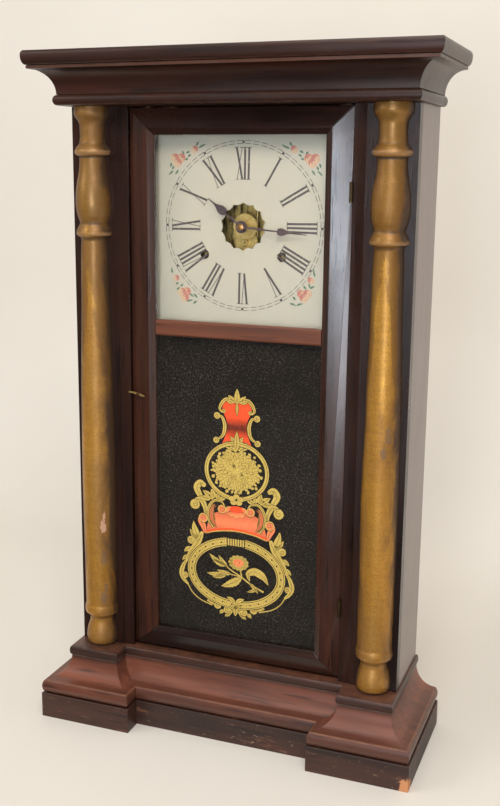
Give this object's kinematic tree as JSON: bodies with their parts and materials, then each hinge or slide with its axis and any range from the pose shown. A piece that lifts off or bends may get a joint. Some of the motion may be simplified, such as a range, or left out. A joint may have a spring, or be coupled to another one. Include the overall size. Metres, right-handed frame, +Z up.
{
  "type": "weight-driven shelf clock",
  "caption": "Tall shelf clock with half columns, a cornice, a glazed door over a round dial and a painted tablet, and a weight-driven striking movement.",
  "frame": {"origin": "middle of the footprint, on the surface that the clock stands on", "axes": "+Z up, +X to the right of the dial, +Y to the back; the dial faces -Y"},
  "size_m": [0.3726, 0.1322, 0.635],
  "materials": {
    "mahogany": "dark mahogany veneer under aged varnish, satin",
    "dark_case": "darkened stained wood under aged varnish",
    "pine": "bare aged pine",
    "gilt": "wood turned and painted in tarnished gold paint",
    "brass": "aged brass",
    "steel": "plain steel",
    "blued_steel": "dark blued steel",
    "cast_iron": "rough cast iron",
    "dial_paint": "cream painted sheet zinc with dark numerals",
    "clear_glass": "old clear window glass",
    "painted_glass": "glass painted black and gold on the back",
    "cord": "twisted cotton cord"
  },
  "bodies": {
    "case": {"base_plinth": "mahogany", "base_moulding": "mahogany", "cornice_moulding": "mahogany", "cornice_cap": "mahogany", "case_side_left": "dark_case", "case_side_right": "dark_case", "front_stile_left": "dark_case", "front_stile_right": "dark_case", "weight_partition_left": "pine", "weight_partition_right": "pine", "floor_board": "pine", "back_board": "pine", "top_board": "pine", "half_column_left": "gilt", "half_column_right": "gilt", "hinge_case_leaf_upper": "brass", "hinge_case_leaf_lower": "brass", "dial": "dial_paint", "movement_front_plate": "brass", "movement_back_plate": "brass", "gong_coil": "blued_steel", "gong_base": "cast_iron", "strike_cord_run": "cord", "time_cord_run": "cord", "strike_cord_drop": "cord", "time_cord_drop": "cord"},
    "door": {"door_stile_left": "mahogany", "door_stile_right": "mahogany", "door_rail_lower": "mahogany", "door_rail_upper": "mahogany", "door_crossbar": "mahogany", "dial_glass": "clear_glass", "tablet_glass": "painted_glass", "hinge_door_leaf_upper": "brass", "hinge_door_leaf_lower": "brass"},
    "catch": {"catch_hook": "brass"},
    "minute_work": {"centre_arbor": "brass", "minute_hand": "blued_steel"},
    "hour_work": {"hour_wheel": "brass", "hour_hand": "blued_steel"},
    "motion_work": {"minute_wheel": "brass"},
    "time_great": {"time_great_wheel": "brass"},
    "time_second": {"time_second_wheel": "brass"},
    "time_third": {"time_third_wheel": "brass"},
    "escape": {"escape_wheel": "brass"},
    "verge": {"verge": "steel"},
    "pendulum": {"pendulum": "brass"},
    "strike_great": {"strike_great_wheel": "brass"},
    "strike_second": {"strike_second_wheel": "brass"},
    "strike_third": {"strike_third_wheel": "brass"},
    "fly": {"fly": "brass"},
    "count_wheel": {"count_wheel": "brass"},
    "count_lever": {"count_lever": "steel"},
    "hammer": {"hammer": "steel"},
    "time_weight": {"time_weight": "cast_iron"},
    "time_drum": {"time_drum": "brass"},
    "time_pulley": {"time_pulley": "pine"},
    "strike_weight": {"strike_weight": "cast_iron"},
    "strike_drum": {"strike_drum": "brass"},
    "strike_pulley": {"strike_pulley": "pine"}
  },
  "joints": [
    {"name": "door_swing", "type": "hinge", "parent": "case", "child": "door", "pos_m": [0.10485, -0.02045, 0.329], "axis": [0, 0, 1], "range_deg": [0, 145]},
    {"name": "catch_turn", "type": "hinge", "parent": "door", "child": "catch", "pos_m": [-0.097, -0.0195, 0.326], "axis": [0, 1, 0], "range_deg": [0, 80]},
    {"name": "minute_hand_turn", "type": "hinge", "parent": "case", "child": "minute_work", "pos_m": [0, 0.03175, 0.4837], "axis": [0, 1, 0], "continuous": true},
    {"name": "hour_hand_turn", "type": "hinge", "parent": "case", "child": "hour_work", "pos_m": [0, 0.03175, 0.4837], "axis": [0, 1, 0], "continuous": true},
    {"name": "minute_wheel_turn", "type": "hinge", "parent": "case", "child": "motion_work", "pos_m": [0, 0.03175, 0.4693], "axis": [0, 1, 0], "continuous": true},
    {"name": "time_great_turn", "type": "hinge", "parent": "case", "child": "time_great", "pos_m": [0.0372, 0.03175, 0.4579], "axis": [0, 1, 0], "continuous": true},
    {"name": "time_second_turn", "type": "hinge", "parent": "case", "child": "time_second", "pos_m": [0.0194, 0.03175, 0.48569], "axis": [0, 1, 0], "continuous": true},
    {"name": "time_third_turn", "type": "hinge", "parent": "case", "child": "time_third", "pos_m": [0.01538, 0.03175, 0.50508], "axis": [0, 1, 0], "continuous": true},
    {"name": "escape_turn", "type": "hinge", "parent": "case", "child": "escape", "pos_m": [0.00898, 0.03175, 0.52297], "axis": [0, 1, 0], "continuous": true},
    {"name": "pendulum_swing", "type": "hinge", "parent": "case", "child": "pendulum", "pos_m": [0.00898, 0.03175, 0.54497], "axis": [0, 1, 0], "range_deg": [-3, 3]},
    {"name": "verge_rock", "type": "hinge", "parent": "case", "child": "verge", "pos_m": [0.00898, 0.03175, 0.54497], "axis": [0, 1, 0], "range_deg": [-3, 3]},
    {"name": "strike_second_turn", "type": "hinge", "parent": "case", "child": "strike_second", "pos_m": [-0.0194, 0.03175, 0.48569], "axis": [0, 1, 0], "continuous": true},
    {"name": "strike_great_turn", "type": "hinge", "parent": "case", "child": "strike_great", "pos_m": [-0.0372, 0.03175, 0.4579], "axis": [0, 1, 0], "continuous": true},
    {"name": "strike_third_turn", "type": "hinge", "parent": "case", "child": "strike_third", "pos_m": [-0.01539, 0.03175, 0.50507], "axis": [0, 1, 0], "continuous": true},
    {"name": "fly_turn", "type": "hinge", "parent": "case", "child": "fly", "pos_m": [-0.02442, 0.03175, 0.51773], "axis": [0, 1, 0], "continuous": true},
    {"name": "count_wheel_turn", "type": "hinge", "parent": "case", "child": "count_wheel", "pos_m": [-0.02126, 0.03175, 0.43073], "axis": [0, 1, 0], "continuous": true},
    {"name": "count_lever_lift", "type": "hinge", "parent": "case", "child": "count_lever", "pos_m": [-0.062, 0.03175, 0.436], "axis": [0, -1, 0], "range_deg": [0, 10]},
    {"name": "hammer_lift", "type": "hinge", "parent": "case", "child": "hammer", "pos_m": [-0.058, 0.03175, 0.486], "axis": [0, 1, 0], "range_deg": [0, 1.8]},
    {"name": "time_weight_lift", "type": "slide", "parent": "case", "child": "time_weight", "axis": [0, 0, 1], "range_m": [0, 0.358], "deforming": ["time_cord_drop"]},
    {"name": "time_drum_wind", "type": "hinge", "parent": "case", "child": "time_drum", "pos_m": [0.0372, 0.03175, 0.4579], "axis": [0, 1, 0], "range_deg": [-1620, 0]},
    {"name": "time_pulley_turn", "type": "hinge", "parent": "case", "child": "time_pulley", "pos_m": [0.1078, 0.03175, 0.606], "axis": [0, 1, 0], "range_deg": [-1290, 0]},
    {"name": "strike_weight_lift", "type": "slide", "parent": "case", "child": "strike_weight", "axis": [0, 0, 1], "range_m": [0, 0.358], "deforming": ["strike_cord_drop"]},
    {"name": "strike_drum_wind", "type": "hinge", "parent": "case", "child": "strike_drum", "pos_m": [-0.0372, 0.03175, 0.4579], "axis": [0, 1, 0], "range_deg": [0, 1620]},
    {"name": "strike_pulley_turn", "type": "hinge", "parent": "case", "child": "strike_pulley", "pos_m": [-0.1078, 0.03175, 0.606], "axis": [0, 1, 0], "range_deg": [0, 1290]}
  ],
  "couplings": [
    {"joint": "minute_wheel_turn", "follows": "minute_hand_turn", "ratio": -0.33333},
    {"joint": "hour_hand_turn", "follows": "minute_hand_turn", "ratio": 0.083333},
    {"joint": "time_second_turn", "follows": "minute_hand_turn", "ratio": -1},
    {"joint": "time_great_turn", "follows": "minute_hand_turn", "ratio": 0.15385},
    {"joint": "time_third_turn", "follows": "minute_hand_turn", "ratio": 8},
    {"joint": "escape_turn", "follows": "minute_hand_turn", "ratio": -80},
    {"joint": "verge_rock", "follows": "pendulum_swing", "ratio": 1},
    {"joint": "strike_great_turn", "follows": "strike_second_turn", "ratio": -0.15385},
    {"joint": "count_wheel_turn", "follows": "strike_second_turn", "ratio": 0.076923},
    {"joint": "strike_third_turn", "follows": "strike_second_turn", "ratio": -8},
    {"joint": "fly_turn", "follows": "strike_second_turn", "ratio": 64},
    {"joint": "time_drum_wind", "follows": "time_weight_lift", "rad_per_m": -78.74},
    {"joint": "time_pulley_turn", "follows": "time_weight_lift", "rad_per_m": -62.5},
    {"joint": "strike_drum_wind", "follows": "strike_weight_lift", "rad_per_m": 78.74},
    {"joint": "strike_pulley_turn", "follows": "strike_weight_lift", "rad_per_m": 62.5}
  ]
}
